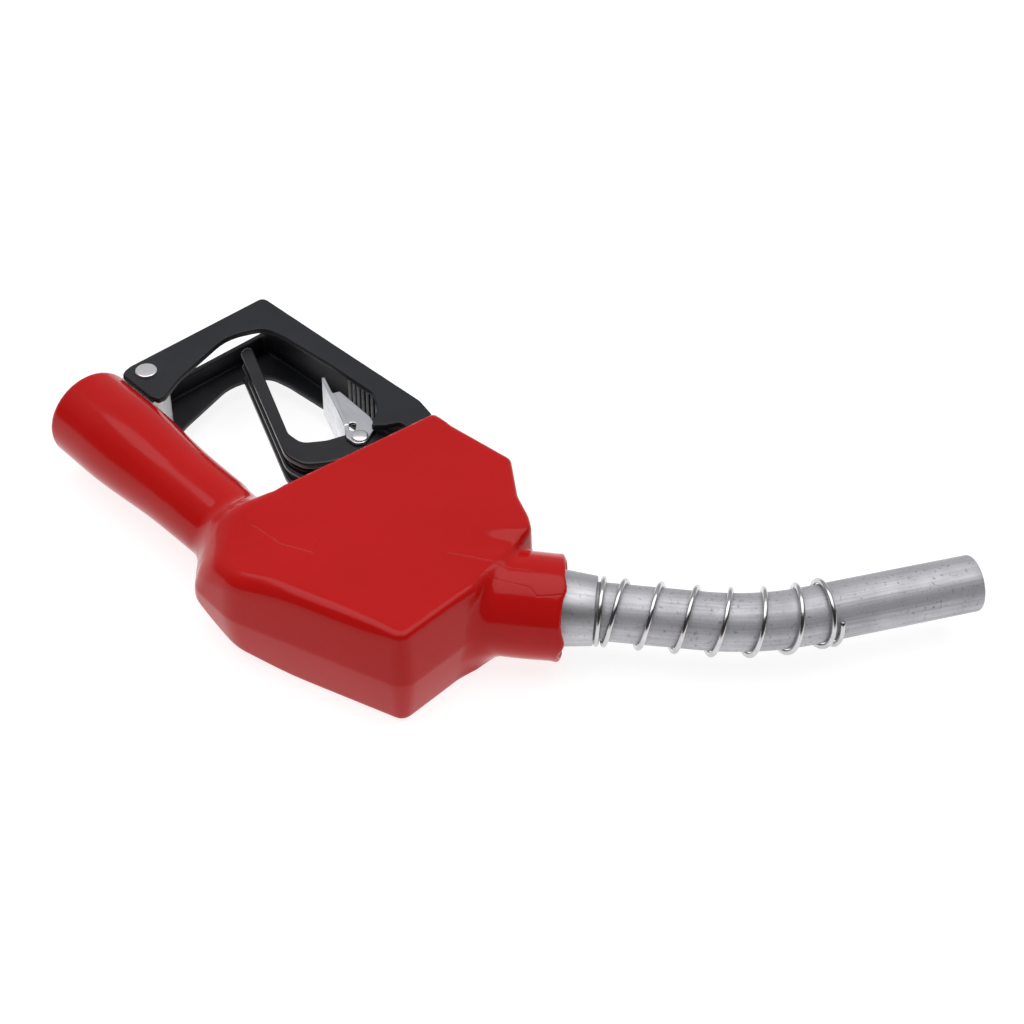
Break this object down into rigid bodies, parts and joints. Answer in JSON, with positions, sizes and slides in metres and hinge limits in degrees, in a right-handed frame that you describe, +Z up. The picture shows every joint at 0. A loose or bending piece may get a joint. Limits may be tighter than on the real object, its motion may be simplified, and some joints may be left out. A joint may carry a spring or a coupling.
{
  "type": "fuel nozzle",
  "caption": "Automatic shut-off fuel nozzle with a vinyl scuff guard, hand lever in a channel guard, hold-open clip, and a bent spout with a wire spring.",
  "frame": {"origin": "centre of the hose inlet's mouth at the rear end of the handle; the nozzle lies on its flat side", "axes": "+X along the handle towards the body, +Y from the handle towards the lever and its guard, +Z up, square to the body's flat sides"},
  "size_m": [0.345, 0.2431, 0.05],
  "materials": {
    "red_vinyl": "glossy dipped vinyl",
    "cast_aluminium": "as cast",
    "turned_aluminium": "turned, bright",
    "spout_aluminium": "satin drawn tube",
    "black_plastic": "satin black",
    "lever_plastic": "satin black",
    "steel": "machined",
    "spring_steel": "polished wire",
    "zinc_plate": "bright zinc plated",
    "rivet_steel": "bright",
    "brass": "machined",
    "black_rubber": "matte"
  },
  "bodies": {
    "body": {"vinyl_cover": "red_vinyl", "body_casting": "cast_aluminium", "inlet_strainer": "steel", "main_cap": "cast_aluminium", "main_cap_gasket": "black_rubber", "main_spring": "spring_steel", "stem_packing": "black_rubber", "gland_nut": "brass", "latch_sleeve": "brass", "latch_spring": "spring_steel", "diaphragm": "black_rubber", "diaphragm_spring": "spring_steel", "vacuum_cap": "cast_aluminium", "vacuum_cap_screws": "steel", "spout_adapter": "turned_aluminium", "adapter_oring": "black_rubber", "spout_screw": "steel", "venturi_seat": "brass", "check_spring": "spring_steel", "spout_tube": "spout_aluminium", "vent_tube": "black_plastic", "vent_tip": "spout_aluminium", "spout_spring": "spring_steel", "lever_guard": "black_plastic", "guard_rear_rivet": "rivet_steel", "guard_screws": "steel"},
    "main_valve": {"main_stem": "steel", "main_poppet": "brass", "poppet_seal": "black_rubber", "poppet_nut": "brass"},
    "latch": {"latch_stem": "steel", "lever_pivot_pin": "steel", "latch_balls": "steel"},
    "vacuum_release": {"latch_pin": "steel", "diaphragm_plate": "steel"},
    "check_valve": {"check_poppet": "brass"},
    "lever": {"lever": "lever_plastic", "clip_rivet": "rivet_steel", "clip_spring": "spring_steel"},
    "clip": {"hold_open_clip": "zinc_plate"}
  },
  "joints": [
    {"name": "latch_slide", "type": "slide", "parent": "body", "child": "latch", "axis": [0, 1, 0], "range_m": [0, 0.005], "stiffness_N_per_m": 250, "springref_m": -0.01, "deforming": ["latch_spring"]},
    {"name": "lever_hinge", "type": "hinge", "parent": "latch", "child": "lever", "pos_m": [0.168, 0.077, 0], "axis": [0, 0, 1], "range_deg": [0, 18], "stiffness_Nm_per_rad": 0.6, "springref_deg": -22.92},
    {"name": "main_valve_slide", "type": "slide", "parent": "body", "child": "main_valve", "axis": [0, 1, 0], "range_m": [-0.0115, 0], "deforming": ["main_spring"]},
    {"name": "vacuum_slide", "type": "slide", "parent": "body", "child": "vacuum_release", "axis": [0, -1, 0], "range_m": [0, 0.003], "stiffness_N_per_m": 100, "springref_m": -0.004, "deforming": ["diaphragm", "diaphragm_spring"]},
    {"name": "check_valve_slide", "type": "slide", "parent": "body", "child": "check_valve", "axis": [0.766, 0.6428, 0], "range_m": [0, 0.004], "stiffness_N_per_m": 80, "springref_m": -0.005, "deforming": ["check_spring"]},
    {"name": "clip_hinge", "type": "hinge", "parent": "lever", "child": "clip", "pos_m": [0.103, 0.0704, 0], "axis": [0, 0, 1], "range_deg": [-8, 18], "stiffness_Nm_per_rad": 0.02}
  ],
  "couplings": [
    {"joint": "main_valve_slide", "follows": "lever_hinge", "m_per_rad": -0.0365}
  ]
}
